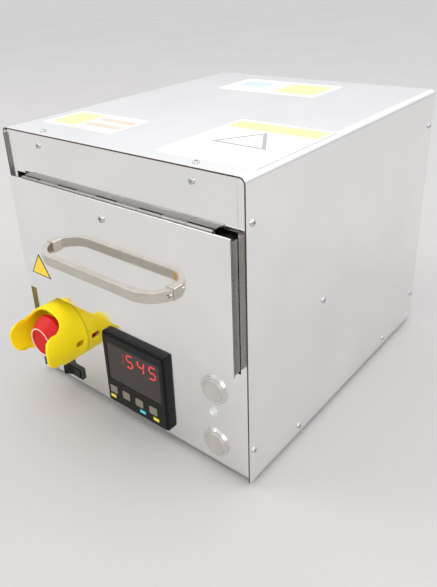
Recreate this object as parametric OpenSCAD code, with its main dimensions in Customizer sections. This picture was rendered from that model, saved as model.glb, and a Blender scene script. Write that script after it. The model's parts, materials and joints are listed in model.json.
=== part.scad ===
// Bench-top pottery kiln: polished sheet case, lift-up door, control panel and
// insulated firing chamber. Millimetres, +Z up, the front faces -Y.
// Every module is drawn in case coordinates: X from the middle of the case,
// Y back from the front edge of the cover, Z up from the cover's lower edge.

/* [Case] */
// Outside width of the case
case_w = 260; // [258:1:266]
// Depth of the cover, front edge to back edge
case_d = 308; // [306:2:330]
// Height of the cover, without the feet
case_h = 250; // [250:1:258]
// Thickness of the cover sheet
sheet = 1.2; // [1:0.1:1.2]
// Outside radius of the cover's two folded edges
fold_r = 5; // [4:0.5:7]
// Height of the rubber feet below the cover
foot_h = 4; // [3:0.5:8]

/* [Door] */
// Width of the door's front sheet
door_w = 244; // [240:1:244]
// Height of the door's front sheet
door_h = 109.7; // [106:0.1:109.7]
// Height of the door sheet's lower edge
door_z = 99.6; // [99.6:0.2:101]
// Distance from the door's face to the front edge of the cover
door_proud = 6.5; // [6.5:0.1:7]
// Depth of the insulating plug behind the door sheet
plug_d = 28.3; // [24:0.1:28.3]

/* [Handle] */
// Outside width of the bow handle
handle_w = 148; // [130:2:160]
// Distance the handle stands out from the door
handle_out = 23.5; // [20:0.5:28]
// Height of the handle bar
handle_h = 8.5; // [7:0.5:10]
// Thickness of the handle bar
handle_t = 5; // [4.5:0.1:6]
// Height of the handle's middle
handle_z = 155; // [145:1:165]

/* [Controls] */
// Height and width of the temperature controller's bezel
ctl_w = 74; // [72:1:74]
// Distance the controller stands out from the panel
ctl_out = 6.4; // [6.2:0.1:8]
// Push-button bezel diameter
btn_d = 25; // [24:0.5:28]
// Radius of the emergency stop's guard
guard_r = 29.5; // [28.5:0.5:30]
// Distance from the guard's front to the front edge of the cover
guard_out = 43; // [40:1:46]
// Diameter of the emergency stop's red head
head_d = 42; // [34:1:44]

/* [Chamber] */
// Width of the firing chamber
chamber_w = 130; // [110:2:150]
// Height of the firing chamber
chamber_h = 76; // [60:2:78]
// Depth of the firing chamber
chamber_d = 179.5; // [150:0.5:190]

/* [Hidden] */
$fn = 48;

eps = 0.05;
gap = 0.1;
face_y = 2.3;                          // front face of the recessed front panel
panel_t = 1.5;                         // thickness of the front, rear and base sheets
back_y = face_y + panel_t;             // back face of the front panel
inner_w = case_w - 2 * sheet;          // clear width inside the cover
inner_h = case_h - sheet;              // clear height inside the cover
sheet_w = inner_w - 2 * gap;           // width of the panels that slide into the cover
return_x = sheet_w / 2 - panel_t;      // inner face of the panels' side returns
tray_z = 0.5;                          // underside of the base tray
tray_top = tray_z + panel_t;
tray_rim = 14;                         // height of the base tray's side rims

opening_w = 243.4;                     // doorway in the front panel
opening_z = 98.8;
opening_top = 211;
opening_mid = (opening_z + opening_top) / 2;
rear_y = case_d - 5;                   // front face of the rear panel

door_t = 1.2;
skin_y = -door_proud;
skin_back = skin_y + door_t;
door_top = door_z + door_h;
plug_y = skin_back + 1.1;              // front of the insulating plug
pan_w = 237;
pan_top = 206.5;
pan_z = 102;
pan_t = 0.8;
side_strip = 3;                        // the strips that fill out the door's two sides reach this far
pan_y = 12;                            // open back edge of the door pan
nose_w = 224;
nose_z = [108, 200];
plug_back = skin_back + plug_d;

hinge_y = skin_back + 2;               // hinge axis
hinge_z = 209;
knuckle_r = 1.8;
pin_r = 1;
knuckles = 9;
hinge_half = 106;
leaf_t = 1;
leaf_z = 199;
door_screw_x = -3;
door_screw_z = 194.8;
foot_y = skin_y - 4.5;                 // ends of the handle bar
bend_r = 26;                           // outside radius of the handle's bends

mouth_y = 25.5;                        // front face of the insulation
deck_z = 92;
brick_z = deck_z + panel_t;
floor_top = opening_mid - chamber_h / 2;
roof_z = opening_mid + chamber_h / 2;
casing_w = 241;
casing_top = 233.5;
brick_w = casing_w - 4;
brick_top = casing_top - 2;
chamber_back = mouth_y + chamber_d;
brick_back = chamber_back + 50;

ctl_x = 11;
ctl_z = 46.2;
ctl_y = face_y - ctl_out;
window_w = 63.5;
window_h = 39;
window_z = 8.4;                        // middle of the window above the bezel's middle
key_x = [-27.6, -11.6, 4.6, 21.4];
key_z = -21.6;
key_w = 9;
key_h = 7.5;

btn_x = 96;
btn_z = [73.5, 21.5];
lamp_z = 51;
lamp_x = 94.5;

stop_x = -82.8;
stop_z = 62.1;
stop_y = -29.5;                        // front face of the red head
front_r = 14.6;                        // radius of the head's front face
head_back = -13.3;
guard_turn = 2;                        // the guard sits turned slightly on its button
guard_wall = 2.5;
ring_y = -17.5;                        // front of the guard's closed ring
bay_x = 24.3;                          // half width of the bays between the lobes
bay_r = 11;
lobe_r = 14;                           // rounding of the lobes' corners

rocker_x = -82.3;
rocker_z = 13.6;
rocker_w = 28;
rocker_h = 12.4;
rocker_tip = 12;                       // tilt either side of level
rocker_y = 5;                          // depth of the rocker's pivot

inlet_x = -84;
inlet_z = 38;
pin_xz = [[-7, 1.5], [0, -2.5], [7, 1.5]];

screw_yz = [[7, 218], [6, 30], [72, 7.2], [case_d - 72, 7.5], [case_d - 7, 216.5], [case_d - 7, 31], [105, 115]];
cover_top_x = 83;
fascia_screw_x = 84;
fascia_screw_z = 239;
front_most = -guard_out;

// Moves case coordinates to the part's frame: centred in plan, standing on Z = 0.
module in_frame() translate([0, -(case_d + front_most) / 2, foot_h]) children();

// Block between two corners.
module block(low, high) translate(low) cube(high - low);

// Upright outline, drawn in X and Z, given a thickness from y0 back to y1.
module upright(y0, y1) translate([0, y1, 0]) rotate([90, 0, 0]) linear_extrude(y1 - y0) children();

// Round bar along Y, X or Z.
module bar_y(r, x, z, y0, y1) translate([x, y0, z]) rotate([-90, 0, 0]) cylinder(r = r, h = y1 - y0);
module bar_x(r, y, z, x0, x1) translate([x0, y, z]) rotate([0, 90, 0]) cylinder(r = r, h = x1 - x0);

// Outline with two round top corners, standing on z0.
module arch(w, z0, z1, r) {
    translate([-w / 2, z0]) square([w, z1 - z0 - r]);
    translate([-w / 2 + r, z0]) square([w - 2 * r, z1 - z0]);
    for (side = [-1, 1]) translate([side * (w / 2 - r), z1 - r]) circle(r);
}

// Rectangle with four round corners about the origin.
module round_rect(w, h, r) {
    square([w - 2 * r, h], center = true);
    square([w, h - 2 * r], center = true);
    for (sx = [-1, 1], sy = [-1, 1]) translate([sx * (w / 2 - r), sy * (h / 2 - r)]) circle(r);
}

// Slot with round ends, long way along X.
module slot(length, width) {
    square([length - width, width], center = true);
    for (side = [-1, 1]) translate([side * (length - width) / 2, 0]) circle(width / 2);
}

// Pan-head screw whose head stands on the plane at the origin and points to +Z.
module screw(head_r, head_h, shank_r, shank_l) {
    difference() {
        union() {
            cylinder(r = head_r, h = head_h * 0.6);
            translate([0, 0, head_h * 0.6]) cylinder(r1 = head_r, r2 = head_r * 0.72, h = head_h * 0.4);
        }
        translate([0, 0, head_h * 0.45]) cube([head_r * 1.2, head_r * 0.3, head_h * 1.2], center = true);
        translate([0, 0, head_h * 0.45]) cube([head_r * 0.3, head_r * 1.2, head_h * 1.2], center = true);
    }
    translate([0, 0, -shank_l]) cylinder(r = shank_r, h = shank_l);
}

// Hexagonal nut along Y with a round bore.
module nut_y(across, bore_r, x, z, y0, y1) difference() {
    translate([x, y0, z]) rotate([-90, 0, 0]) cylinder(r = across / sqrt(3), h = y1 - y0, $fn = 6);
    bar_y(bore_r, x, z, y0 - 1, y1 + 1);
}

// Smooth tube swept along hand-chosen points, eight sides.
function mix(a, b, t) = a + (b - a) * t;
function curve_point(p, i, t) = let (a = p[max(i - 1, 0)], b = p[i], c = p[i + 1], d = p[min(i + 2, len(p) - 1)])
    0.5 * (2 * b + (c - a) * t + (2 * a - 5 * b + 4 * c - d) * t * t + (3 * b - a - 3 * c + d) * t * t * t);
function route(p, steps) = concat([for (i = [0 : len(p) - 2], k = [0 : steps - 1]) curve_point(p, i, k / steps)],
    [p[len(p) - 1]]);
function unit(v) = v / norm(v);
function side_of(d) = unit(cross(d, abs(d[2]) > 0.9 ? [1, 0, 0] : [0, 0, 1]));
module tube(points, r, steps = 3) {
    sides = 8;
    path = route(points, steps);
    last = len(path) - 1;
    ring = [for (i = [0 : last]) let (d = unit(path[min(i + 1, last)] - path[max(i - 1, 0)]),
        u = unit(cross([0.31, 0.17, 0.93], d)), v = cross(d, u))
        for (k = [0 : sides - 1]) path[i] + r * (cos(k * 360 / sides) * u + sin(k * 360 / sides) * v)];
    walls = [for (i = [0 : last - 1], k = [0 : sides - 1]) let (a = i * sides + k,
        b = i * sides + (k + 1) % sides) each [[a, a + sides, b], [b, a + sides, b + sides]]];
    polyhedron(points = ring, faces = concat(walls, [[for (k = [0 : sides - 1]) k]],
        [[for (k = [sides - 1 : -1 : 0]) last * sides + k]]));
}

// ---- Case ------------------------------------------------------------------

module side_screw_holes(r) for (p = screw_yz) bar_x(r, p[0], p[1], -case_w, case_w);
module top_screw_holes(r) for (side = [-1, 1]) translate([side * cover_top_x, 9, case_h - 20]) cylinder(r = r, h = 40);

module outer_cover() in_frame() color("gainsboro") difference() {
    upright(0, case_d) difference() {
        arch(case_w, 0, case_h, fold_r);
        arch(inner_w, -1, inner_h, fold_r - sheet);
    }
    side_screw_holes(1.6);
    top_screw_holes(1.6);
}

module base_tray() in_frame() color("silver") difference() {
    union() {
        block([-sheet_w / 2, back_y + 0.2, tray_z], [sheet_w / 2, rear_y - 0.2, tray_top]);
        for (side = [-1, 1]) translate([side * (return_x + panel_t / 2), 0, 0])
            block([-panel_t / 2, 20, tray_top - eps], [panel_t / 2, case_d - 20, tray_rim]);
    }
    side_screw_holes(1.5);
    for (sx = [-1, 1], sy = [30, case_d - 30]) translate([sx * (case_w / 2 - 24), sy, -1]) cylinder(r = 2.1, h = 10);
    for (i = [-4 : 4], sy = [110, 200]) translate([i * 16, sy, -1]) linear_extrude(10) rotate(90) slot(46, 3.6);
}

module front_panel() in_frame() color("whitesmoke") difference() {
    union() {
        upright(face_y, back_y) arch(sheet_w, tray_top, inner_h - gap, fold_r);
        for (side = [-1, 1]) translate([side * (return_x + panel_t / 2), 0, 0])
            block([-panel_t / 2, back_y - eps, tray_rim + 2], [panel_t / 2, 16, inner_h - 12]);
    }
    block([-opening_w / 2, 0, opening_z], [opening_w / 2, 20, case_h]);
    block([ctl_x - 34, 0, ctl_z - 34], [ctl_x + 34, 20, ctl_z + 34]);
    bar_y(11.1, stop_x, stop_z, 0, 20);
    for (z = btn_z) bar_y(11.1, btn_x, z, 0, 20);
    bar_y(3, lamp_x, lamp_z, 0, 20);
    block([rocker_x - 12.8, 0, rocker_z - 5.6], [rocker_x + 12.8, 20, rocker_z + 5.6]);
    side_screw_holes(1.5);
}

module top_fascia() in_frame() color("whitesmoke") difference() {
    union() {
        block([-opening_w / 2 + gap, face_y, opening_top], [opening_w / 2 - gap, back_y, inner_h - gap]);
        block([-opening_w / 2 + gap, back_y - eps, opening_top], [opening_w / 2 - gap, 15, opening_top + panel_t]);
        block([-opening_w / 2 + gap, back_y - eps, inner_h - gap - panel_t], [opening_w / 2 - gap, 16, inner_h - gap]);
    }
    for (side = [-1, 1]) bar_y(1.6, side * fascia_screw_x, fascia_screw_z, 0, 20);
    top_screw_holes(1.5);
}

module front_crossbar() in_frame() color("silver") difference() {
    union() {
        block([-return_x + 0.2, back_y, 226], [return_x - 0.2, back_y + panel_t, 246]);
        block([-return_x + 0.2, back_y, 226], [return_x - 0.2, 16, 226 + panel_t]);
    }
    for (side = [-1, 1]) bar_y(1.5, side * fascia_screw_x, fascia_screw_z, 0, 20);
}

// Folded liner around the doorway, open at the top where the hinge sits.
module door_surround() in_frame() color("silver") difference() {
    block([-opening_w / 2 - panel_t, back_y, opening_z - panel_t], [opening_w / 2 + panel_t, mouth_y, opening_top - 0.4]);
    block([-opening_w / 2, back_y - 1, opening_z], [opening_w / 2, mouth_y + 1, case_h]);
}

module rear_panel() in_frame() color("whitesmoke") difference() {
    union() {
        upright(rear_y, rear_y + panel_t) arch(sheet_w, tray_top, inner_h - gap, fold_r);
        for (side = [-1, 1]) translate([side * (return_x + panel_t / 2), 0, 0])
            block([-panel_t / 2, rear_y - 12, tray_rim + 2], [panel_t / 2, rear_y + eps, inner_h - 12]);
    }
    upright(rear_y - 1, rear_y + 5) for (row = [0 : 8], side = [-1, 1])
        translate([side * 62, 130 + row * 11]) slot(74, 3.8);
    upright(rear_y - 1, rear_y + 5) for (row = [0 : 3]) translate([52, 22 + row * 11]) slot(74, 3.8);
    block([inlet_x - 14, rear_y - 1, inlet_z - 10.4], [inlet_x + 14, case_d, inlet_z + 10.4]);
    for (side = [-1, 1]) bar_y(1.7, inlet_x + side * 20, inlet_z, rear_y - 1, case_d);
    side_screw_holes(1.5);
}

module rubber_feet() in_frame() color("black") for (sx = [-1, 1], sy = [30, case_d - 30])
    translate([sx * (case_w / 2 - 24), sy, -foot_h]) difference() {
        cylinder(r1 = 8, r2 = 9, h = foot_h + tray_z);
        translate([0, 0, -1]) cylinder(r = 4.6, h = foot_h - 0.5);
        cylinder(r = 2.1, h = foot_h + 2);
    }

module foot_screws() in_frame() color("silver") for (sx = [-1, 1], sy = [30, case_d - 30])
    translate([sx * (case_w / 2 - 24), sy, -1.5]) rotate([180, 0, 0]) screw(3.8, 2, 2, 8);

module case_screws() in_frame() color("silver") {
    for (p = screw_yz) {
        translate([case_w / 2, p[0], p[1]]) rotate([0, 90, 0]) screw(2.6, 1.2, 1.45, 6);
        translate([-case_w / 2, p[0], p[1]]) rotate([0, -90, 0]) screw(2.6, 1.2, 1.45, 6);
    }
    for (side = [-1, 1]) {
        translate([side * cover_top_x, 9, case_h]) screw(2.6, 1.2, 1.45, 6);
        translate([side * fascia_screw_x, face_y, fascia_screw_z]) rotate([90, 0, 0]) screw(2.6, 1.2, 1.45, 6);
        translate([inlet_x + side * 20, rear_y + panel_t + 2, inlet_z]) rotate([-90, 0, 0]) screw(2.6, 1.2, 1.45, 6);
    }
}

// ---- Firing chamber ----------------------------------------------------------

module chamber_deck() in_frame() color("silver") difference() {
    union() {
        block([-return_x + 0.3, 20, deck_z], [return_x - 0.3, case_d - 18, deck_z + panel_t]);
        for (side = [-1, 1]) translate([side * (return_x - 0.3 - panel_t / 2), 0, 0])
            block([-panel_t / 2, 20, deck_z - 12], [panel_t / 2, case_d - 18, deck_z + eps]);
    }
    for (side = [-1, 1]) translate([side * 30, brick_back + 16, deck_z - 5]) cylinder(r = 6, h = 20);
}

// Inner steel wrap that holds the bricks together, with a closed back.
module inner_casing() in_frame() color("lightgray") difference() {
    block([-casing_w / 2, mouth_y, deck_z + panel_t], [casing_w / 2, brick_back + 1.3, casing_top]);
    block([-casing_w / 2 + 1, mouth_y - 1, deck_z], [casing_w / 2 - 1, brick_back + 0.3, casing_top - 1]);
    for (side = [-1, 1], i = [-1, 1])
        bar_y(4, side * (chamber_w / 2 - 1), opening_mid + i * 20, brick_back - 5, brick_back + 5);
    bar_y(4, 0, opening_mid + 20, brick_back - 5, brick_back + 5);
}

module side_brackets() in_frame() color("silver") for (side = [-1, 1]) difference() {
    translate([side * (casing_w + inner_w - 0.2) / 4, 105, 115])
        cube([(inner_w - casing_w - 0.2) / 2, 22, 24], center = true);
    bar_x(1.5, 105, 115, -case_w, case_w);
}

// Bricks: the floor and roof span the whole width, the side bricks stand between them.
module floor_brick() in_frame() color("ivory")
    block([-brick_w / 2, mouth_y, brick_z], [brick_w / 2, brick_back, floor_top]);
module roof_brick() in_frame() color("ivory")
    block([-brick_w / 2, mouth_y, roof_z], [brick_w / 2, brick_back, brick_top]);

// Side brick with two half-round grooves for the heating element.
module side_brick(side) difference() {
    translate([side * (chamber_w + brick_w) / 4, (mouth_y + chamber_back) / 2, opening_mid])
        cube([(brick_w - chamber_w) / 2, chamber_d, chamber_h], center = true);
    for (i = [-1, 1]) bar_r_y(5.5, side * chamber_w / 2, opening_mid + i * 20, mouth_y + 9, chamber_back + 1);
    translate([side * chamber_w / 2, mouth_y + 9, opening_mid]) cube([11, 11, 40], center = true);
}
module bar_r_y(r, x, z, y0, y1) {
    bar_y(r, x, z, y0, y1);
    translate([x, y0, z]) sphere(r);
}
module left_brick() in_frame() color("ivory") side_brick(-1);
module right_brick() in_frame() color("ivory") side_brick(1);

module rear_brick() in_frame() color("ivory") difference() {
    block([-brick_w / 2, chamber_back, floor_top], [brick_w / 2, brick_back, roof_z]);
    for (side = [-1, 1], i = [-1, 1])
        bar_y(3, side * (chamber_w / 2 - 1), opening_mid + i * 20, chamber_back - 1, brick_back + 1);
    bar_y(3.2, 0, opening_mid + 20, chamber_back - 1, brick_back + 1);
}

// Shelf standing clear of the floor on four short posts.
module kiln_shelf() in_frame() color("tan") translate([0, mouth_y + chamber_d / 2, floor_top]) {
    translate([0, 0, 6]) linear_extrude(6) round_rect(chamber_w - 16, chamber_d - 22, 6);
    for (sx = [-1, 1], sy = [-1, 1]) translate([sx * (chamber_w / 2 - 20), sy * (chamber_d / 2 - 24), 0])
        cylinder(r = 6, h = 5.98);
}

// Heating element: two coiled runs joined at the front, with straight tails through the rear brick.
module element(side) {
    x = side * (chamber_w / 2 - 1);
    for (i = [-1, 1]) {
        bar_y(3.6, x, opening_mid + i * 20, mouth_y + 9, chamber_back - 6);
        bar_y(1.6, x, opening_mid + i * 20, chamber_back - 7, brick_back + 18);
    }
    translate([x, mouth_y + 9, opening_mid - 20]) cylinder(r = 1.6, h = 40);
}
module left_element() in_frame() color("dimgray") element(-1);
module right_element() in_frame() color("dimgray") element(1);

module element_terminals() in_frame() color("goldenrod") for (side = [-1, 1], i = [-1, 1])
    translate([side * (chamber_w / 2 - 1), brick_back + 6, opening_mid + i * 20]) rotate([-90, 0, 0]) difference() {
        cylinder(r = 5, h = 10);
        translate([0, 0, -1]) cylinder(r = 1.7, h = 12);
    }

module thermocouple() in_frame() color("beige") {
    bar_y(3, 0, opening_mid + 20, chamber_back - 26, brick_back + 8);
    translate([0, chamber_back - 26, opening_mid + 20]) sphere(3);
    block([-9, brick_back + 8, opening_mid + 10], [9, brick_back + 20, opening_mid + 30]);
}

module door_gasket() in_frame() color("ivory") difference() {
    upright(plug_back + 0.3, mouth_y) translate([0, opening_mid]) round_rect(chamber_w + 36, chamber_h + 14, 8);
    upright(plug_back - 1, mouth_y + 1) translate([0, opening_mid]) round_rect(chamber_w + 12, chamber_h + 2, 4);
}

// ---- Door -------------------------------------------------------------------

module door_skin() in_frame() color("whitesmoke") difference() {
    upright(skin_y, skin_back) translate([0, door_z + door_h / 2]) round_rect(door_w, door_h, 1.6);
    for (side = [-1, 1]) bar_y(1.6, side * (handle_w - handle_t) / 2, handle_z, skin_y - 1, skin_back + 1);
    bar_y(2, door_screw_x, door_screw_z, skin_y - 1, skin_back + 1);
}
module leaf_notch() block([-hinge_half - 1.5, skin_back - 1, leaf_z - 0.8], [hinge_half + 1.5, plug_y, pan_top + 5]);

module door_pan() in_frame() color("gray") difference() {
    union() {
        block([-pan_w / 2, skin_back, pan_z], [pan_w / 2, pan_y, pan_top]);
        for (side = [-1, 1]) translate([side * pan_w / 2, 0, 0])
            block([-side_strip, skin_back, pan_z], [side_strip, face_y - 0.5, pan_top]);
    }
    block([-pan_w / 2 + pan_t, skin_back + pan_t, pan_z + pan_t], [pan_w / 2 - pan_t, pan_y + 1, pan_top - pan_t]);
    leaf_notch();
    for (side = [-1, 1]) bar_y(1.6, side * (handle_w - handle_t) / 2, handle_z, skin_back - 1, plug_y);
    bar_y(2, door_screw_x, door_screw_z, skin_back - 1, plug_y);
}

module door_plug() in_frame() color("ivory") difference() {
    union() {
        block([-pan_w / 2 + pan_t, plug_y, pan_z + pan_t], [pan_w / 2 - pan_t, pan_y, pan_top - pan_t]);
        block([-nose_w / 2, pan_y - eps, nose_z[0]], [nose_w / 2, plug_back, nose_z[1]]);
    }
    for (side = [-1, 1]) bar_y(4, side * (handle_w - handle_t) / 2, handle_z, plug_y - 1, plug_y + 3);
    bar_y(2.6, door_screw_x, door_screw_z, plug_y - 1, plug_y + 5);
}

module door_screw() in_frame() color("silver")
    translate([door_screw_x, skin_y, door_screw_z]) rotate([90, 0, 0]) screw(3.2, 1.6, 1.9, 6);

// Bow handle: a flat bar with a straight grip and two wide quarter bends.
module handle() in_frame() color("silver") difference() {
    translate([0, 0, handle_z - handle_h / 2]) linear_extrude(handle_h) difference() {
        bow(handle_w, handle_out, bend_r);
        bow(handle_w - 2 * handle_t, handle_out - handle_t, bend_r - handle_t);
        translate([-handle_w, foot_y]) square([2 * handle_w, 90]);
    }
    for (side = [-1, 1]) bar_y(1.5, side * (handle_w - handle_t) / 2, handle_z, foot_y - 5, foot_y + 1);
}
module bow(w, out, r) {
    front = skin_y - out;
    translate([-w / 2 + r, front]) square([w - 2 * r, 60]);
    translate([-w / 2, front + r]) square([w, 60]);
    for (side = [-1, 1]) translate([side * (w / 2 - r), front + r]) circle(r);
}

module handle_feet() in_frame() color("silver") for (side = [-1, 1]) difference() {
    translate([side * (handle_w / 2 - 4.2), 0, handle_z]) upright(foot_y, skin_y) round_rect(8, 10.5, 1);
    bar_y(1.6, side * (handle_w - handle_t) / 2, handle_z, foot_y - 1, skin_y + 1);
}

module handle_screws() in_frame() color("silver") for (side = [-1, 1])
    translate([side * (handle_w - handle_t) / 2, skin_back + pan_t, handle_z]) rotate([-90, 0, 0])
        screw(3, 1.6, 1.45, 10);

// Knuckles of a continuous hinge; parity 0 or 1 takes every other one.
module knuckle_row(parity) {
    pitch = 2 * hinge_half / knuckles;
    for (i = [parity : 2 : knuckles - 1]) translate([-hinge_half + (i + 0.5) * pitch, 0, 0]) children();
}
knuckle_len = 2 * hinge_half / knuckles - 0.3;

module hinge_fixed_leaf() in_frame() color("silver") difference() {
    union() {
        block([-hinge_half, hinge_y + 2.4, opening_top - leaf_t], [hinge_half, 14, opening_top]);
        knuckle_row(1) {
            bar_x(knuckle_r, hinge_y, hinge_z, -knuckle_len / 2, knuckle_len / 2);
            block([-knuckle_len / 2, hinge_y, opening_top - leaf_t], [knuckle_len / 2, hinge_y + 2.5, opening_top - 0.35]);
        }
    }
    bar_x(pin_r + 0.05, hinge_y, hinge_z, -hinge_half - 1, hinge_half + 1);
}

module hinge_door_leaf() in_frame() color("silver") difference() {
    union() {
        block([-hinge_half, skin_back, leaf_z], [hinge_half, skin_back + leaf_t, hinge_z - 2.4]);
        knuckle_row(0) {
            bar_x(knuckle_r, hinge_y, hinge_z, -knuckle_len / 2, knuckle_len / 2);
            block([-knuckle_len / 2, skin_back, hinge_z - 2.5], [knuckle_len / 2, skin_back + leaf_t, hinge_z]);
        }
    }
    bar_x(pin_r + 0.05, hinge_y, hinge_z, -hinge_half - 1, hinge_half + 1);
}

module hinge_pin() in_frame() color("dimgray") bar_x(pin_r, hinge_y, hinge_z, -hinge_half - 1, hinge_half + 1);

// ---- Temperature controller --------------------------------------------------

module at_controller() translate([ctl_x, 0, ctl_z]) children();

module controller_housing() in_frame() color("dimgray") at_controller() difference() {
    block([-33, face_y, -33], [33, 76, 33]);
    block([-31, face_y - 1, -31], [31, 70, 31]);
}

module controller_bezel() in_frame() color([0.09, 0.09, 0.1]) at_controller() difference() {
    union() {
        upright(ctl_y + 2, face_y) round_rect(ctl_w, ctl_w, 1.5);
        upright(ctl_y + 0.9, ctl_y + 2 + eps) round_rect(ctl_w - 1.4, ctl_w - 1.4, 1.5);
        upright(ctl_y, ctl_y + 0.9 + eps) round_rect(ctl_w - 3, ctl_w - 3, 1.5);
    }
    upright(ctl_y - 1, ctl_y + 2) translate([0, window_z]) round_rect(window_w + 0.2, window_h + 0.2, 1.5);
    upright(ctl_y - 1, ctl_y + 4) translate([0, window_z]) round_rect(window_w - 3, window_h - 3, 1);
    for (x = key_x) upright(ctl_y - 1, ctl_y + 4) translate([x, key_z]) round_rect(key_w + 0.3, key_h + 0.3, 1);
    upright(ctl_y + 3, face_y + 1) round_rect(ctl_w - 8, ctl_w - 8, 1.5);
}

module controller_window() in_frame() color([0.33, 0.31, 0.31]) at_controller()
    upright(ctl_y + 0.5, ctl_y + 2) translate([0, window_z]) round_rect(window_w, window_h, 1.5);

module controller_clamp() in_frame() color("dimgray") at_controller() difference() {
    block([-36, 40, -36], [36, 50, 36]);
    block([-33.05, 39, -33.05], [33.05, 51, 33.05]);
}

module controller_key(i) at_controller() union() {
    upright(ctl_y - 0.7, ctl_y + 3.6) translate([key_x[i], key_z]) round_rect(key_w, key_h, 0.9);
    upright(ctl_y + 3.4, ctl_y + 4.2) translate([key_x[i], key_z]) square([key_w + 1, key_h + 1], center = true);
}
module controller_key_1() in_frame() color("tan") controller_key(0);
module controller_key_2() in_frame() color("tan") controller_key(1);
module controller_key_3() in_frame() color("tan") controller_key(2);
module controller_key_4() in_frame() color("tan") controller_key(3);

// ---- Push-buttons and indicator ------------------------------------------------

cap_r = 9.3;
module button_bodies() in_frame() color("silver") for (z = btn_z) difference() {
    union() {
        bar_y(btn_d / 2, btn_x, z, face_y - 1.2, face_y);
        bar_y(btn_d / 2 - 0.8, btn_x, z, face_y - 1.9, face_y - 1.2 + eps);
        bar_y(11, btn_x, z, face_y - eps, 32);
    }
    bar_y(cap_r + 0.05, btn_x, z, -10, 15);
}

module push_button(z) union() {
    bar_y(cap_r, btn_x, z, face_y - 1.9, 11);
    bar_y(cap_r - 0.5, btn_x, z, face_y - 2.2, face_y - 1.9 + eps);
}
module upper_button() in_frame() color("darkgray") push_button(btn_z[0]);
module lower_button() in_frame() color("darkgray") push_button(btn_z[1]);

module button_nuts() in_frame() color("silver") for (z = btn_z) nut_y(26, 11.05, btn_x, z, back_y, back_y + 5);

module indicator_light() in_frame() color("white") {
    bar_y(4, lamp_x, lamp_z, face_y - 1.2, face_y);
    bar_y(2.9, lamp_x, lamp_z, face_y - eps, 16);
    translate([lamp_x, face_y - 1.2, lamp_z]) sphere(2.4);
}

// ---- Emergency stop --------------------------------------------------------------

module at_stop() translate([stop_x, 0, stop_z]) children();

// Guard: a cup screwed to the panel, opened at top and bottom by two deep bays that leave
// a lobe on each side, with a slot through the wall behind each lobe.
module estop_guard() in_frame() color("gold") at_stop() rotate([0, -guard_turn, 0]) difference() {
    intersection() {
        bar_y(guard_r, 0, 0, -guard_out, face_y);
        upright_side(-guard_r, guard_r) guard_profile();
    }
    bar_y(guard_r - guard_wall, 0, 0, -guard_out - 1, face_y - 3);
    bar_y(11.05, 0, 0, -20, face_y + 1);
    translate([0, 0, -guard_r - 1]) linear_extrude(2 * guard_r + 2) guard_bay();
    for (side = [-1, 1]) translate([side * (guard_r - 2), -6.8, -3.3 * side]) cube([9, 8.8, 5.6], center = true);
}

// Side outline of the guard, drawn in Y and Z, with round front corners.
module guard_profile() {
    front = lobe_r - guard_out;
    corner = sqrt(guard_r * guard_r - bay_x * bay_x) - lobe_r;
    translate([front, -guard_r]) square([guard_out + face_y - lobe_r, 2 * guard_r]);
    translate([-guard_out, -corner]) square([lobe_r + 1, 2 * corner]);
    for (side = [-1, 1]) translate([front, side * corner]) circle(lobe_r);
}
module upright_side(x0, x1) translate([x0, 0, 0]) rotate([90, 0, 90]) linear_extrude(x1 - x0) children();

// Plan outline of the bays.
module guard_bay() {
    back = ring_y - bay_r;
    translate([-bay_x, -guard_out - 1]) square([2 * bay_x, guard_out + 1 + back]);
    translate([-bay_x + bay_r, back - 1]) square([2 * (bay_x - bay_r), bay_r + 1]);
    for (side = [-1, 1]) translate([side * (bay_x - bay_r), back]) circle(bay_r);
}

module estop_body() in_frame() color([0.1, 0.1, 0.1]) at_stop() {
    difference() {
        union() {
            bar_y(15, 0, 0, -9, face_y - 3.05);
            bar_y(10.9, 0, 0, face_y - 3.1, 30);
        }
        bar_y(8.05, 0, 0, -10, 18);
    }
    nut_y(28, 11, 0, 0, back_y, back_y + 6);
}

module estop_plunger() in_frame() color([0.2, 0.2, 0.2]) at_stop() {
    bar_y(8, 0, 0, head_back + 0.3, 12);
    bar_y(5, 0, 0, stop_y + 5, head_back + 0.4);
}

// Twist-release head: a cone that widens towards the panel, with a shallow dish in its front.
module estop_head() in_frame() color("red") at_stop() difference() {
    r = head_d / 2;
    length = head_back - stop_y;
    translate([0, stop_y, 0]) rotate([-90, 0, 0]) rotate_extrude()
        polygon([[0, 0], [front_r - 0.8, 0], [front_r, 0.8], [r, length - 5], [r, length - 1], [r - 1, length], [0, length]]);
    bar_y(5.05, 0, 0, stop_y + 4.7, 0);
    bar_y(front_r - 1.7, 0, 0, stop_y - 1, stop_y + 1);
}

module estop_contacts() in_frame() color("darkslategray") at_stop() block([-14, 30, -15], [14, 56, 15]);

// ---- Rocker switch ------------------------------------------------------------------

module rocker_frame() in_frame() color([0.08, 0.08, 0.08]) difference() {
    union() {
        translate([rocker_x, 0, rocker_z]) upright(face_y - 2, face_y) round_rect(rocker_w, rocker_h, 1.5);
        block([rocker_x - 12.6, face_y - eps, rocker_z - 5.4], [rocker_x + 12.6, 30, rocker_z + 5.4]);
    }
    block([rocker_x - 11.7, -5, rocker_z - 4.7], [rocker_x + 11.7, 13, rocker_z + 4.7]);
    translate([rocker_x, rocker_y, rocker_z - 5.2]) cylinder(r = 1.55, h = 10.4);
}

// Rocker: a bar with a shallow valley, tipped about a vertical pivot.
module rocker() in_frame() color([0.05, 0.05, 0.05]) translate([rocker_x, rocker_y, rocker_z]) {
    translate([0, 0, -4.5]) rotate([0, 0, rocker_tip]) linear_extrude(9)
        polygon([[-10, -8], [0, -5.2], [10, -8], [10.2, -1], [4, 4.5], [-4, 4.5], [-10.2, -1]]);
    translate([0, 0, -5.1]) cylinder(r = 1.5, h = 10.2);
}

// ---- Power parts -----------------------------------------------------------------------

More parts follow.
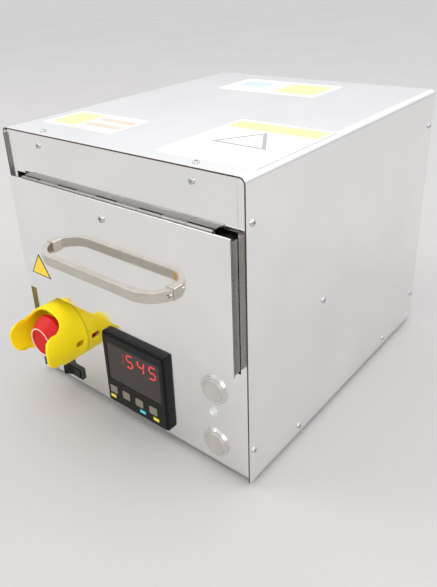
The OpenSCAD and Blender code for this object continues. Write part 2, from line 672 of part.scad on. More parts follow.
module contactor() in_frame() color("dimgray") {
    block([40, 150, tray_top], [85, 220, 60]);
    block([44, 158, 59.9], [81, 212, 66]);
}

module solid_state_relay() in_frame() color("darkgray") {
    block([-100, 130, tray_top], [-42, 212, 8]);
    for (i = [0 : 6]) block([-100 + i * 9, 130, 7.9], [-97.5 + i * 9, 212, 26]);
    block([-100, 130, 25.9], [-42, 212, 29]);
    block([-94, 142, 28.9], [-48, 200, 52]);
}

module power_inlet() in_frame() color([0.1, 0.1, 0.1]) translate([inlet_x, 0, inlet_z]) difference() {
    union() {
        upright(rear_y + panel_t, rear_y + panel_t + 2) round_rect(50, 24, 6);
        block([-13.8, rear_y - 22, -10.2], [13.8, rear_y + panel_t + eps, 10.2]);
    }
    upright(rear_y - 14, case_d + 1) round_rect(24, 16.5, 3);
    for (side = [-1, 1]) bar_y(1.6, side * 20, 0, rear_y, case_d + 1);
    for (p = pin_xz) block([p[0] - 1.05, rear_y - 30, p[1] - 2.05], [p[0] + 1.05, rear_y - 10, p[1] + 2.05]);
}

module inlet_pins() in_frame() color("gold") translate([inlet_x, 0, inlet_z]) for (p = pin_xz)
    block([p[0] - 1, rear_y - 30, p[1] - 2], [p[0] + 1, rear_y - 1, p[1] + 2]);

module power_wires() in_frame() color("firebrick") {
    tube([[inlet_x + 7, rear_y - 30.5, inlet_z + 1.5], [inlet_x + 9, 262, 37], [-60, 240, 36], [-66, 216, 42], [-68, 200.5, 44]], 1.6);
    tube([[-72, 141.5, 44], [-72, 110, 46], [-40, 92, 50], [20, 100, 46], [56, 130, 40], [60, 149.5, 40]], 1.6);
    tube([[60, 220.5, 44], [58, 244, 50], [36, 266, 70], [30, brick_back + 16, 82], [30, brick_back + 16, 100],
        [46, brick_back + 23, 122], [chamber_w / 2 - 3, brick_back + 27, opening_mid - 22],
        [chamber_w / 2 - 1, brick_back + 18.4, opening_mid - 20]], 1.6);
}

// ---- Blank plates ------------------------------------------------------------------------

module warning_plates() in_frame() color("white") {
    translate([-69.5, 54, case_h]) linear_extrude(0.25) round_rect(86, 46, 2);
    translate([82.5, 68, case_h]) linear_extrude(0.25) round_rect(88, 106, 2);
    translate([-11, 253, case_h]) linear_extrude(0.25) round_rect(114, 58, 2);
}

outer_cover();
base_tray();
front_panel();
top_fascia();
front_crossbar();
door_surround();
rear_panel();
rubber_feet();
foot_screws();
case_screws();
chamber_deck();
inner_casing();
side_brackets();
floor_brick();
roof_brick();
left_brick();
right_brick();
rear_brick();
kiln_shelf();
left_element();
right_element();
element_terminals();
thermocouple();
door_gasket();
door_skin();
door_pan();
door_plug();
door_screw();
handle();
handle_feet();
handle_screws();
hinge_fixed_leaf();
hinge_door_leaf();
hinge_pin();
controller_housing();
controller_bezel();
controller_window();
controller_clamp();
controller_key_1();
controller_key_2();
controller_key_3();
controller_key_4();
button_bodies();
upper_button();
lower_button();
button_nuts();
indicator_light();
estop_guard();
estop_body();
estop_plunger();
estop_head();
estop_contacts();
rocker_frame();
rocker();
contactor();
solid_state_relay();
power_inlet();
inlet_pins();
power_wires();
warning_plates();
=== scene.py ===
import json
import math

import bmesh
import bpy
from mathutils import Matrix, Vector


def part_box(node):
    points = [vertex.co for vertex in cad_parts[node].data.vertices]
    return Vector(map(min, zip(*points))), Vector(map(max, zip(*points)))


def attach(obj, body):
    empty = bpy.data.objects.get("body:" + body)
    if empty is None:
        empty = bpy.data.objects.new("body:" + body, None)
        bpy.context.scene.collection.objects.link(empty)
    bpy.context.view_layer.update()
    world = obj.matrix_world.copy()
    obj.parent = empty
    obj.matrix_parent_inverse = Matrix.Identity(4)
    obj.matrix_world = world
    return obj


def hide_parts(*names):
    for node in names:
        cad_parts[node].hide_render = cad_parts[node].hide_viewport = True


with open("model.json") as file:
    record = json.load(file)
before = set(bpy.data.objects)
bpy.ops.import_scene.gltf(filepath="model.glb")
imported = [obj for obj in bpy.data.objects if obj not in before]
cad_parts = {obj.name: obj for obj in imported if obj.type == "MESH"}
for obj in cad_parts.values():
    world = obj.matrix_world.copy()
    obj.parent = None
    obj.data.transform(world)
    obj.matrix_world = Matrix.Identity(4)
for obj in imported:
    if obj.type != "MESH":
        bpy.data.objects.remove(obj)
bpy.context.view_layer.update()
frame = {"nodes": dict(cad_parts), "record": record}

MM = 0.001

# ---- Places, all taken from the frame ---------------------------------------

cover_low, cover_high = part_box("outer_cover")
front = cover_low.y                       # front edge of the case
top = cover_high.z


def in_case(x, y, z):
    """A point from millimetres right of the middle, behind the cover's front edge and above its lower edge."""
    return Vector((x * MM, front + y * MM, cover_low.z + z * MM))


# ---- Camera, floor and light --------------------------------------------------

def add_camera():
    """The camera looks down on the case's right front corner, with a slight roll."""
    data = bpy.data.cameras.new("camera")
    data.sensor_width = 36.0
    data.lens = 36.9
    data.shift_x = 0.0412
    data.shift_y = -0.0889
    camera = bpy.data.objects.new("camera", data)
    bpy.context.scene.collection.objects.link(camera)
    place = in_case(335.8, -281.1, 367.9)
    aim = in_case(16.4, 78.0, 148.7)
    look = (aim - place).to_track_quat("-Z", "Y").to_matrix().to_4x4()
    roll = Matrix.Rotation(math.radians(-3.11), 4, "Z")
    camera.matrix_world = Matrix.Translation(place) @ look @ roll
    bpy.context.scene.camera = camera


def add_area_light(name, place, aim, size, power, colour):
    data = bpy.data.lights.new(name, "AREA")
    data.size = size
    data.energy = power
    data.color = colour
    light = bpy.data.objects.new(name, data)
    bpy.context.scene.collection.objects.link(light)
    turn = (Vector(aim) - Vector(place)).to_track_quat("-Z", "Y").to_matrix().to_4x4()
    light.matrix_world = Matrix.Translation(Vector(place)) @ turn


def add_world():
    """Soft white surroundings, a little brighter overhead."""
    world = bpy.data.worlds.new("studio")
    bpy.context.scene.world = world
    world.use_nodes = True
    tree = world.node_tree
    background = tree.nodes["Background"]
    coordinate = tree.nodes.new("ShaderNodeTexCoord")
    split = tree.nodes.new("ShaderNodeSeparateXYZ")
    blend = tree.nodes.new("ShaderNodeMapRange")
    mix = tree.nodes.new("ShaderNodeMix")
    mix.data_type = "RGBA"
    mix.inputs[6].default_value = (0.70, 0.70, 0.71, 1)
    mix.inputs[7].default_value = (1.38, 1.39, 1.43, 1)
    blend.inputs["From Min"].default_value = 0.0
    blend.inputs["From Max"].default_value = 0.35
    tree.links.new(coordinate.outputs["Generated"], split.inputs[0])
    tree.links.new(split.outputs["Z"], blend.inputs["Value"])
    tree.links.new(blend.outputs["Result"], mix.inputs[0])
    tree.links.new(mix.outputs[2], background.inputs["Color"])
    background.inputs["Strength"].default_value = 0.85


def add_floor():
    reach = 20.0
    corners = [(-reach, -reach, 0), (reach, -reach, 0), (reach, reach, 0), (-reach, reach, 0)]
    mesh = bpy.data.meshes.new("floor")
    mesh.from_pydata(corners, [], [(0, 1, 2, 3)])
    floor = bpy.data.objects.new("floor", mesh)
    bpy.context.scene.collection.objects.link(floor)
    mesh.materials.append(surface("floor", (0.49, 0.48, 0.465), (0.5, 0.6), spread=0.01, grain=3, bump=0))


# ---- Materials -------------------------------------------------------------------

class Nodes:
    """Shorthand for wiring one material's nodes."""

    def __init__(self, name):
        self.material = bpy.data.materials.new(name)
        self.material.use_nodes = True
        self.tree = self.material.node_tree
        self.shader = self.tree.nodes["Principled BSDF"]
        self.coordinate = self.tree.nodes.new("ShaderNodeTexCoord").outputs["Object"]

    def add(self, kind, values, **settings):
        node = self.tree.nodes.new("ShaderNode" + kind)
        for key, value in settings.items():
            setattr(node, key, value)
        for key, value in values.items():
            if isinstance(value, bpy.types.NodeSocket):
                self.tree.links.new(value, node.inputs[key])
            else:
                node.inputs[key].default_value = value
        return node

    def noise(self, scale, detail=4.0, stretch=(1, 1, 1)):
        mapped = self.add("Mapping", {"Vector": self.coordinate, "Scale": stretch})
        made = self.add("TexNoise", {"Vector": mapped.outputs[0], "Scale": scale, "Detail": detail})
        return made.outputs[0]

    def cells(self, scale):
        made = self.add("TexVoronoi", {"Vector": self.coordinate, "Scale": scale})
        return made.outputs["Distance"]

    def fit(self, source, low, high, start=0.3, end=0.7):
        made = self.add("MapRange", {"Value": source, "From Min": start, "From Max": end,
                                     "To Min": low, "To Max": high})
        return made.outputs[0]

    def mix(self, share, first, second):
        made = self.add("Mix", {0: share, 6: first, 7: second}, data_type="RGBA")
        return made.outputs[2]


def shade(colour, factor):
    return (*[min(1.0, c * factor) for c in colour], 1.0)


def surface(name, colour, roughness, metallic=0.0, spread=0.08, grain=300.0, stretch=(1, 1, 1), bump=0.15,
            depth=0.0002, edge=0.0, wear=None, pits=0.0, coat=0.0, sheen=0.0, clear=0.0, glow=0.0, shine=0.5):
    """A procedural finish: mottled colour and roughness, grain as bump, softened and worn edges."""
    n = Nodes(name)
    broad = n.noise(grain * 0.12 + 4, 3.0)
    fine = n.noise(grain, 5.0, stretch)
    paint = n.mix(n.fit(broad, 0.0, 1.0), shade(colour, 1 - spread), shade(colour, 1 + spread))
    if pits:
        speck = n.fit(n.cells(pits), 0.65, 0.0, 0.05, 0.28)
        paint = n.mix(speck, paint, shade(colour, 0.55))
    normal = None
    if edge:
        normal = n.add("Bevel", {"Radius": edge}, samples=4).outputs[0]
    if wear and edge:
        geometry = n.tree.nodes.new("ShaderNodeNewGeometry")
        alike = n.add("VectorMath", {0: normal, 1: geometry.outputs["Normal"]}, operation="DOT_PRODUCT")
        rubbed = n.fit(alike.outputs["Value"], 1.0, 0.0, 0.90, 0.995)
        patchy = n.add("Math", {0: rubbed, 1: n.fit(fine, 0.1, 0.9)}, operation="MULTIPLY")
        paint = n.mix(patchy.outputs[0], paint, (*wear, 1.0))
    n.tree.links.new(paint, n.shader.inputs["Base Color"])
    n.tree.links.new(n.fit(fine, *roughness), n.shader.inputs["Roughness"])
    if bump:
        height = fine
        if pits:
            height = n.add("Math", {0: fine, 1: n.fit(n.cells(pits), -1.2, 0.0, 0.0, 0.3)}, operation="ADD").outputs[0]
        values = {"Strength": bump, "Distance": depth, "Height": height}
        if normal:
            values["Normal"] = normal
        normal = n.add("Bump", values).outputs[0]
    if normal:
        n.tree.links.new(normal, n.shader.inputs["Normal"])
    n.shader.inputs["Metallic"].default_value = metallic
    n.shader.inputs["Specular IOR Level"].default_value = shine
    n.shader.inputs["Coat Weight"].default_value = coat
    n.shader.inputs["Sheen Weight"].default_value = sheen
    n.shader.inputs["Transmission Weight"].default_value = clear
    if glow:
        n.shader.inputs["Emission Color"].default_value = shade(colour, 1.0)
        n.shader.inputs["Emission Strength"].default_value = glow
    return n.material


def polished_sheet(name, raw_front_with_painted_shade=False):
    """Mirror-polished stainless sheet: nearly flat, with faint polishing lines, smudges and slow waves.
    With a raw front, the cut edge that faces forwards is painted dark brown, a painted reflection of dark surroundings
    with painted shade along the edge, and the inside is rougher as it isn't polished and is painted dark grey as
    painted shade in the recess."""
    n = Nodes(name)
    smudge = n.noise(14.0, 5.0)
    lines = n.noise(900.0, 3.0, (1, 1, 0.02))
    tint = n.mix(n.fit(smudge, 0.0, 1.0), (0.84, 0.835, 0.825, 1), (0.90, 0.895, 0.885, 1))
    rough = n.add("Math", {0: n.fit(smudge, 0.05, 0.11), 1: n.fit(lines, 0.0, 0.03)}, operation="ADD")
    if raw_front_with_painted_shade:
        geometry = n.tree.nodes.new("ShaderNodeNewGeometry")
        facing = n.add("SeparateXYZ", {0: geometry.outputs["True Normal"]}).outputs["Y"]
        place = n.add("SeparateXYZ", {0: n.coordinate})
        aside = n.add("Math", {0: place.outputs["X"]}, operation="ABSOLUTE").outputs[0]
        within = n.add("Math", {0: aside, 1: cover_high.x - 0.6 * MM}, operation="LESS_THAN").outputs[0]
        below = n.add("Math", {0: place.outputs["Z"], 1: top - 5 * MM}, operation="LESS_THAN").outputs[0]
        inside = n.add("Math", {0: within, 1: below}, operation="MULTIPLY").outputs[0]
        # Painted shade: the inside faces, seen as the inner wall of the recess behind the front edge, are painted dark
        # grey; the extra roughness is the unpolished inside.
        tint = n.mix(inside, tint, (0.32, 0.31, 0.30, 1))
        # Painted reflection and shade: faces turned forwards, the sheet's cut edge, are painted dark brown for the
        # dark surroundings they reflect and the shade along them.
        tint = n.mix(n.fit(facing, 1.0, 0.0, -0.95, -0.6), tint, (0.115, 0.082, 0.062, 1))
        rough = n.add("Math", {0: rough.outputs[0], 1: n.fit(inside, 0.0, 0.35, 0.0, 1.0)}, operation="ADD")
    soft = n.add("Bevel", {"Radius": 0.0004}, samples=4).outputs[0]
    wave = n.add("Bump", {"Strength": 0.10, "Distance": 0.0006, "Height": n.noise(9.0, 1.0), "Normal": soft})
    scratch = n.add("Bump", {"Strength": 0.05, "Distance": 0.00002, "Height": lines, "Normal": wave.outputs[0]})
    n.tree.links.new(tint, n.shader.inputs["Base Color"])
    n.tree.links.new(rough.outputs[0], n.shader.inputs["Roughness"])
    n.tree.links.new(scratch.outputs[0], n.shader.inputs["Normal"])
    n.shader.inputs["Metallic"].default_value = 1.0
    return n.material


def slot_materials():
    """One material for each of the record's material slots."""
    ceramic = {"roughness": (0.75, 0.95), "edge": 0.0006}
    black = {"roughness": (0.38, 0.55), "edge": 0.0004, "bump": 0.12, "wear": (0.10, 0.10, 0.10)}
    metal = {"metallic": 1.0, "edge": 0.0003, "spread": 0.05}
    return {
        "polished_steel": polished_sheet("polished_steel"),
        "handle_steel": surface("handle_steel", (0.60, 0.56, 0.50), (0.10, 0.2), grain=900, stretch=(0.05, 1, 1),
                                bump=0.05, **metal),
        # Painted shade: the door pan's steel is darkened to stand in for the shade at the door's right end, between
        # the door and the panel.
        "pan_steel": surface("pan_steel", (0.30, 0.28, 0.265), (0.25, 0.4), grain=300, bump=0.05, **metal),
        "zinc_sheet": surface("zinc_sheet", (0.58, 0.59, 0.61), (0.25, 0.45), grain=160, bump=0.06, **metal),
        "screw_steel": surface("screw_steel", (0.62, 0.62, 0.62), (0.18, 0.35), grain=900, bump=0.1, **metal),
        # Painted shade: the hinge steel is darkened to stand in for the shade in the gap above the door.
        "hinge_steel": surface("hinge_steel", (0.25, 0.24, 0.23), (0.3, 0.45), grain=700,
                               stretch=(0.05, 1, 1), bump=0.1, **metal),
        "dark_steel": surface("dark_steel", (0.12, 0.11, 0.11), (0.3, 0.5), grain=700, **metal),
        "foot_rubber": surface("foot_rubber", (0.03, 0.03, 0.03), (0.7, 0.9), grain=500, bump=0.3, edge=0.0008),
        "fire_brick": surface("fire_brick", (0.84, 0.78, 0.66), grain=350, pits=420, bump=0.8, depth=0.0006,
                              spread=0.10, **ceramic),
        "shelf_ceramic": surface("shelf_ceramic", (0.66, 0.55, 0.43), grain=600, pits=700, bump=0.5, depth=0.0003,
                                 spread=0.14, **ceramic),
        "element_wire": surface("element_wire", (0.20, 0.18, 0.17), (0.45, 0.7), metallic=0.7, grain=1200, bump=0.3,
                                spread=0.25),
        "terminal_brass": surface("terminal_brass", (0.78, 0.60, 0.30), (0.2, 0.4), grain=600, **metal),
        "sheath_ceramic": surface("sheath_ceramic", (0.88, 0.85, 0.78), grain=700, bump=0.2, **ceramic),
        "fibre_rope": surface("fibre_rope", (0.86, 0.84, 0.78), (0.85, 1.0), grain=900, stretch=(1, 1, 0.25),
                              bump=0.9, depth=0.0008, sheen=0.4),
        "fibre_board": surface("fibre_board", (0.86, 0.82, 0.74), grain=500, pits=900, bump=0.5, depth=0.0004,
                               **ceramic),
        "black_plastic": surface("black_plastic", (0.030, 0.030, 0.032), grain=1500, **black),
        "black_gloss": surface("black_gloss", (0.008, 0.008, 0.009), (0.35, 0.5), grain=900, bump=0.05, edge=0.0005,
                               shine=0.2),
        "window_plastic": surface("window_plastic", (0.046, 0.036, 0.034), (0.30, 0.4), grain=200, bump=0.02,
                                  edge=0.0004, shine=0.3),
        "key_plastic": surface("key_plastic", (0.21, 0.185, 0.15), (0.35, 0.5), grain=1200, bump=0.1, edge=0.0005),
        "button_metal": surface("button_metal", (0.74, 0.73, 0.71), (0.12, 0.25), grain=800, bump=0.05, **metal),
        "button_cap_upper": surface("button_cap_upper", (0.72, 0.69, 0.65), (0.28, 0.42), grain=900, bump=0.08,
                                    **metal),
        "button_cap_lower": surface("button_cap_lower", (0.71, 0.68, 0.64), (0.28, 0.42), grain=900, bump=0.08,
                                    **metal),
        "lamp_lens": surface("lamp_lens", (0.93, 0.94, 0.93), (0.05, 0.12), grain=300, bump=0.03, clear=0.3),
        "guard_yellow": surface("guard_yellow", (1.0, 0.76, 0.003), (0.48, 0.6), grain=420, bump=0.08,
                                spread=0.03, depth=0.0003, shine=0.3),
        "stop_red": surface("stop_red", (0.60, 0.006, 0.005), (0.45, 0.6), grain=500, bump=0.05, edge=0.0005,
                            spread=0.05, shine=0.3),
        "heatsink_aluminium": surface("heatsink_aluminium", (0.68, 0.69, 0.70), (0.28, 0.45), grain=600,
                                      stretch=(1, 0.05, 1), bump=0.1, **metal),
        "wire_cover": surface("wire_cover", (0.38, 0.05, 0.04), (0.4, 0.6), grain=500, bump=0.2),
        "plate_film": surface("plate_film", (0.90, 0.90, 0.88), (0.22, 0.35), grain=150, bump=0.04, spread=0.02),
    }


def dress(piece, material):
    """Gives a piece or a CAD node its material."""
    if not piece.material_slots:
        piece.data.materials.append(material)
    for held in piece.material_slots:
        held.material = material


# ---- Making pieces ------------------------------------------------------------------

def add_piece(name, shape, body, material, smooth=None):
    """Turns a bmesh into a piece that rides on a body."""
    mesh = bpy.data.meshes.new(name)
    bmesh.ops.recalc_face_normals(shape, faces=shape.faces)
    shape.to_mesh(mesh)
    shape.free()
    piece = bpy.data.objects.new(name, mesh)
    bpy.context.scene.collection.objects.link(piece)
    dress(piece, material)
    if smooth is not None:
        mesh.shade_smooth()
        mesh.set_sharp_from_angle(angle=math.radians(smooth))
    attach(piece, body)
    return piece


def prism(shape, outline, back, depth, plane="XZ"):
    """Adds a straight-sided solid. XZ outlines stand at the depth back, towards the front; XY ones lie up from it."""
    if plane == "XZ":
        lift = Vector((0, -depth, 0))
        points = [Vector((x, back, z)) for x, z in outline]
    else:
        lift = Vector((0, 0, depth))
        points = [Vector((x, y, back)) for x, y in outline]
    low = [shape.verts.new(p) for p in points]
    high = [shape.verts.new(p + lift) for p in points]
    shape.faces.new(low)
    shape.faces.new(high)
    for i in range(len(points)):
        j = (i + 1) % len(points)
        shape.faces.new((low[i], low[j], high[j], high[i]))


def round_box(cx, cy, width, height, radius, steps=4):
    """Outline of a rectangle with round corners."""
    points = []
    for quarter, (sx, sy) in enumerate([(1, 1), (-1, 1), (-1, -1), (1, -1)]):
        for k in range(steps + 1):
            a = math.radians(90 * (quarter + k / steps))
            points.append((cx + sx * (width / 2 - radius) + radius * math.cos(a),
                           cy + sy * (height / 2 - radius) + radius * math.sin(a)))
    return points


def lathe(profile, centre, steps=64):
    """A turned piece on an axis along Y. The profile is pairs of radius and distance ahead of the centre."""
    shape = bmesh.new()
    rings = []
    for r, ahead in profile:
        rings.append([shape.verts.new(centre + Vector((r * math.cos(a), -ahead, r * math.sin(a))))
                      for a in (2 * math.pi * k / steps for k in range(steps))])
    for first, second in zip(rings, rings[1:]):
        for i in range(steps):
            j = (i + 1) % steps
            shape.faces.new((first[i], first[j], second[j], second[i]))
    shape.faces.new(rings[0])
    shape.faces.new(rings[-1])
    return shape


def cad_copy(node):
    """A CAD node's mesh as a bmesh with its split vertices joined."""
    shape = bmesh.new()
    shape.from_mesh(frame["nodes"][node].data)
    bmesh.ops.remove_doubles(shape, verts=shape.verts, dist=1e-6)
    return shape


def softened(name, node, body, material, voxel, rounds):
    """Replaces a moulded CAD node by the same shape with rounded edges."""
    piece = add_piece(name, cad_copy(node), body, material)
    remesh = piece.modifiers.new("remesh", "REMESH")
    remesh.mode = "VOXEL"
    remesh.voxel_size = voxel
    relax = piece.modifiers.new("relax", "SMOOTH")
    relax.factor = 0.5
    relax.iterations = rounds
    bake(piece)
    piece.data.shade_smooth()
    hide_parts(node)
    return piece


def bevelled(name, node, body, material, width, segments=3):
    """Replaces a flat-sided CAD node by the same shape with small round edges."""
    shape = cad_copy(node)
    bmesh.ops.dissolve_limit(shape, angle_limit=math.radians(0.5), verts=shape.verts, edges=shape.edges)
    piece = add_piece(name, shape, body, material, smooth=30)
    bevel = piece.modifiers.new("bevel", "BEVEL")
    bevel.width = width
    bevel.segments = segments
    bevel.limit_method = "ANGLE"
    bevel.angle_limit = math.radians(35)
    normals = piece.modifiers.new("normals", "WEIGHTED_NORMAL")
    normals.keep_sharp = True
    bake(piece)
    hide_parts(node)
    return piece


def bake(piece):
    """Applies the piece's modifiers."""
    graph = bpy.context.evaluated_depsgraph_get()
    graph.update()
    made = bpy.data.meshes.new_from_object(piece.evaluated_get(graph))
    piece.modifiers.clear()
    piece.data = made


# ---- Emergency stop --------------------------------------------------------------------

def add_emergency_stop(looks):
    softened("guard_cup", "estop_guard", "case", looks["guard_yellow"], 0.0006, 7)
    low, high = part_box("estop_head")
    centre = Vector(((low.x + high.x) / 2, low.y, (low.z + high.z) / 2))
    # Painted highlight: the pale pink ring on the head stands for the light caught by the rim of its recessed top.
    rim_highlight_paint = surface("painted_rim_highlight", (0.90, 0.62, 0.58), (0.3, 0.45), grain=500, spread=0.05, bump=0.03)
    inner, outer, proud = 12.7 * MM, 14.0 * MM, 0.15 * MM
    rim = [(inner, -0.7 * MM), (inner, proud * 0.6), (inner + 0.3 * MM, proud), (outer - 0.3 * MM, proud),
           (outer, proud * 0.4), (outer, -0.1 * MM), (inner + 0.7 * MM, -0.02 * MM), (inner + 0.6 * MM, -0.7 * MM)]
    ring = lathe(rim + [rim[0]], centre)
    for face in [f for f in ring.faces if len(f.verts) > 4]:
        ring.faces.remove(face)
    bmesh.ops.remove_doubles(ring, verts=ring.verts, dist=1e-7)
    add_piece("stop_head_ring", ring, "estop_head", rim_highlight_paint, smooth=40)


# ---- Controller -----------------------------------------------------------------------

# Strokes of a seven-stroke numeral: start and end, in half widths and half heights.
STROKES = {
    "top": ((-1, 1), (1, 1)), "middle": ((-1, 0), (1, 0)), "bottom": ((-1, -1), (1, -1)),
    "upper_left": ((-1, 0), (-1, 1)), "upper_right": ((1, 0), (1, 1)),
    "lower_left": ((-1, -1), (-1, 0)), "lower_right": ((1, -1), (1, 0)),
}
NUMERALS = {
    "1": ["upper_right", "lower_right"],
    "4": ["upper_left", "upper_right", "middle", "lower_right"],
    "5": ["top", "upper_left", "middle", "lower_right", "bottom"],
}


def numeral(figure, centre, back, width, height, line):
    """A numeral of separate bars with pointed ends, leaning slightly."""
    shape = bmesh.new()
    lean = 0.10
    for stroke in NUMERALS[figure]:
        (x0, z0), (x1, z1) = STROKES[stroke]
        start = Vector((x0 * width / 2, z0 * height / 2))
        end = Vector((x1 * width / 2, z1 * height / 2))
        along = (end - start).normalized()
        across = Vector((-along.y, along.x)) * line / 2
        start, end = start + along * line * 0.18, end - along * line * 0.18
        near, far = start + along * line / 2, end - along * line / 2
        outline = [start, near + across, far + across, end, far - across, near - across]
        prism(shape, [(centre.x + p.x + lean * p.y, centre.z + p.y) for p in outline], back, 0.15 * MM)
    return shape


def add_controller(looks):
    bevelled("controller_frame", "controller_bezel", "case", looks["black_gloss"], 0.25 * MM, 2)
    for i in range(1, 5):
        key = f"controller_key_{i}"
        bevelled(f"key_cap_{i}", key, key, looks["key_plastic"], 0.5 * MM)
    low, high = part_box("controller_window")
    lit = surface("lit_red", (0.62, 0.04, 0.035), (0.3, 0.4), grain=400, spread=0.05, bump=0, glow=0.4)
    dim = surface("dim_red", (0.25, 0.03, 0.025), (0.3, 0.4), grain=400, spread=0.05, bump=0, glow=0.05)
    centres = [-3.5, 7.6, 21.0, 34.5]
    for i, (figure, x) in enumerate(zip("1545", centres)):
        shape = numeral(figure, in_case(x, 0, 64.0), low.y - 0.02 * MM, 7.0 * MM, 12.2 * MM, 1.7 * MM)
        add_piece(f"display_numeral_{i + 1}", shape, "case", dim if i == 0 else lit)
    frame_low, frame_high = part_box("controller_bezel")
    marks = [("yellow", -18.6, (0.90, 0.74, 0.05)), ("blue", 18.8, (0.10, 0.62, 0.85)), ("amber", 35.0, (0.90, 0.74, 0.05))]
    for name, x, colour in marks:
        shape = bmesh.new()
        spot = in_case(x, 0, 16.4)
        prism(shape, round_box(spot.x, spot.z, 6.6 * MM, 3.2 * MM, 0.6 * MM), frame_low.y - 0.01 * MM, 0.15 * MM)
        add_piece(f"key_mark_{name}", shape, "case",
                  surface(f"mark_{name}", colour, (0.35, 0.5), grain=600, spread=0.06, bump=0.03))


# ---- Push-buttons and rocker --------------------------------------------------------------

def add_buttons(looks):
    """Each cap is a turned disc with a round rim and a shallow dish."""
    for side in ("upper", "lower"):
        low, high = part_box(f"{side}_button")
        centre = Vector(((low.x + high.x) / 2, low.y, (low.z + high.z) / 2))
        r = (high.x - low.x) / 2
        deep = -(high.y - low.y)
        profile = [(0.3 * r, -0.25 * MM), (0.62 * r, -0.25 * MM), (0.86 * r, -0.08 * MM), (0.90 * r, 0),
                   (0.94 * r, 0), (0.975 * r, -0.12 * MM), (0.995 * r, -0.4 * MM), (r, -0.7 * MM), (r, deep)]
        piece = add_piece(f"{side}_cap", lathe(profile, centre), f"{side}_button",
                          looks[f"button_cap_{side}"], smooth=50)
        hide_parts(f"{side}_button")
    bevelled("rocker_lever", "rocker", "rocker", looks["black_gloss"], 0.6 * MM)


# ---- Heating coils -------------------------------------------------------------------------

def add_coils(looks):
    """Winds each element's two runs, which the CAD model has as solid bars, and joins them at the front."""
    wire, across, pitch, steps = 0.65 * MM, 2.9 * MM, 2.6 * MM, 14
    for side in ("left", "right"):
        low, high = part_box(f"{side}_element")
        x = (low.x + high.x) / 2
        run_low, run_high = low.z + 3.6 * MM, high.z - 3.6 * MM
        near, far = low.y + 3 * MM, low.y + 142 * MM
        curve = bpy.data.curves.new(f"{side}_coil", "CURVE")
        curve.dimensions = "3D"
        curve.bevel_depth = wire
        curve.bevel_resolution = 2
        turns = int((far - near) / pitch)
        route = [Vector((x, high.y, run_low)), Vector((x, far + 6 * MM, run_low))]
        for z, start, end in ((run_low, far, near), (run_high, near, far)):
            for k in range(turns * steps + 1):
                share = k / (turns * steps)
                a = 2 * math.pi * k / steps
                y = start + (end - start) * share
                route.append(Vector((x + across * math.sin(a), y, z + across * math.cos(a))))
        route += [Vector((x, far + 6 * MM, run_high)), Vector((x, high.y, run_high))]
        spline = curve.splines.new("POLY")
        spline.points.add(len(route) - 1)
        for point, place in zip(spline.points, route):
            point.co = (*place, 1.0)
        piece = bpy.data.objects.new(f"{side}_coil", curve)
        bpy.context.scene.collection.objects.link(piece)
        dress(piece, looks["element_wire"])
        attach(piece, "case")
        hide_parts(f"{side}_element")


# ---- Plates -----------------------------------------------------------------------------

def add_door_plate():
    """Yellow triangle with a dark edge, on the door."""
    low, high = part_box("door_skin")
    middle, bottom, half = -97.7, 117.0, 14.0
    tall = 22.0
    yellow = surface("plate_yellow", (0.93, 0.68, 0.03), (0.3, 0.42), grain=300, spread=0.04, bump=0.03)
    dark = surface("plate_dark", (0.03, 0.03, 0.03), (0.35, 0.5), grain=500, spread=0.1, bump=0.03)

    def triangle(shrink):
        base = bottom + shrink
        apex = bottom + tall - 1.9 * shrink
        reach = half - 1.75 * shrink
        points = [in_case(middle - reach, 0, base), in_case(middle + reach, 0, base), in_case(middle, 0, apex)]
        return [(p.x, p.z) for p in points]

    for name, shrink, back, material in (("door_plate_edge", 0.0, low.y - 0.005 * MM, dark),
                                         ("door_plate_face", 1.1, low.y - 0.155 * MM, yellow)):
        shape = bmesh.new()
        prism(shape, triangle(shrink), back, 0.15 * MM)
        add_piece(name, shape, "door", material)


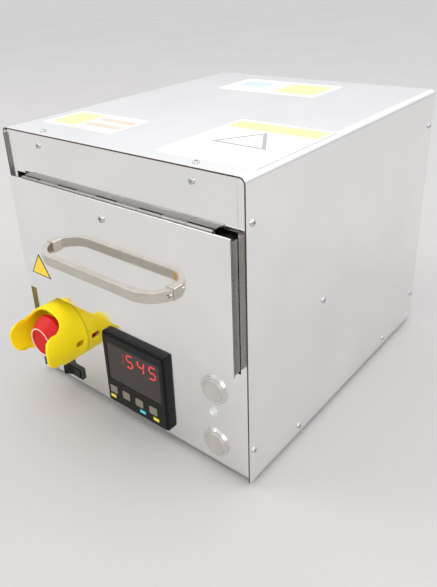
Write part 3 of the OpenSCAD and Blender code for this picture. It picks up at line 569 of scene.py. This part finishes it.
def add_top_plates():
    """Plain coloured fields on the three plates on top: bands, bars and an empty triangle."""
    tones = {
        "yellow": surface("field_yellow", (0.95, 0.88, 0.30), (0.3, 0.42), grain=300, spread=0.04, bump=0.03),
        "red": surface("field_red", (0.86, 0.52, 0.42), (0.3, 0.42), grain=300, spread=0.06, bump=0.03),
        "grey": surface("field_grey", (0.66, 0.64, 0.66), (0.3, 0.42), grain=300, spread=0.06, bump=0.03),
        "dark": surface("field_dark", (0.36, 0.36, 0.37), (0.3, 0.42), grain=300, spread=0.06, bump=0.03),
        "teal": surface("field_teal", (0.50, 0.62, 0.64), (0.3, 0.42), grain=300, spread=0.06, bump=0.03),
    }
    # Tone, then the field's middle from the left and front, its width and its depth.
    fields = [
        ("yellow", -92.0, 54.0, 32.0, 36.0), ("red", -50.0, 63.0, 42.0, 9.0), ("red", -50.0, 46.0, 42.0, 9.0),
        ("yellow", 82.5, 107.0, 82.0, 20.0),
        ("grey", 78.0, 36.0, 70.0, 4.0), ("grey", 82.0, 28.0, 78.0, 4.0), ("grey", 74.0, 20.5, 62.0, 3.0),
        ("yellow", 18.0, 253.0, 46.0, 44.0), ("teal", -42.0, 256.0, 34.0, 26.0), ("grey", -42.0, 235.0, 36.0, 4.0),
    ]
    film_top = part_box("warning_plates")[1].z + 0.005 * MM
    for i, (tone, x, y, width, deep) in enumerate(fields):
        spot = in_case(x, y, 0)
        shape = bmesh.new()
        prism(shape, round_box(spot.x, spot.y, width * MM, deep * MM, 1.0 * MM), film_top, 0.06 * MM, "XY")
        add_piece(f"plate_field_{i + 1}", shape, "case", tones[tone])
    shape = bmesh.new()
    centre, size, line = in_case(82.5, 68.0, 0), 29.0 * MM, 3.2 * MM
    corners = [Vector((math.cos(a), math.sin(a))) for a in (math.radians(90 + 120 * k) for k in range(3))]
    for i in range(3):
        start, end = corners[i], corners[(i + 1) % 3]
        outline = [start * size, end * size, end * (size - 2 * line), start * (size - 2 * line)]
        prism(shape, [(centre.x + p.x, centre.y + p.y * 0.9) for p in outline], film_top, 0.06 * MM, "XY")
    bmesh.ops.remove_doubles(shape, verts=shape.verts, dist=1e-7)
    add_piece("plate_triangle", shape, "case", tones["dark"])


# ---- The scene ------------------------------------------------------------------------

add_camera()
add_world()
add_floor()
add_area_light("key", (-1.3, -0.8, 2.1), (0, 0, 0.1), 1.3, 16, (1.0, 0.985, 0.96))
add_area_light("front", (1.4, -1.8, 1.2), (0, 0, 0.1), 1.2, 9, (1.0, 0.99, 0.97))
add_area_light("fill", (1.5, 0.7, 1.5), (0.5, 0.3, 0.0), 1.5, 12, (0.97, 0.98, 1.0))
looks = slot_materials()
for part in frame["record"]["subparts"]:
    dress(frame["nodes"][part["node"]], looks[part["material_slot"]])
dress(frame["nodes"]["outer_cover"], polished_sheet("cover_sheet", raw_front_with_painted_shade=True))
add_emergency_stop(looks)
add_controller(looks)
add_buttons(looks)
bevelled("handle_bow", "handle", "door", looks["handle_steel"], 0.4 * MM)
add_coils(looks)
add_door_plate()
add_top_plates()
bpy.context.scene.view_settings.view_transform = "Standard"
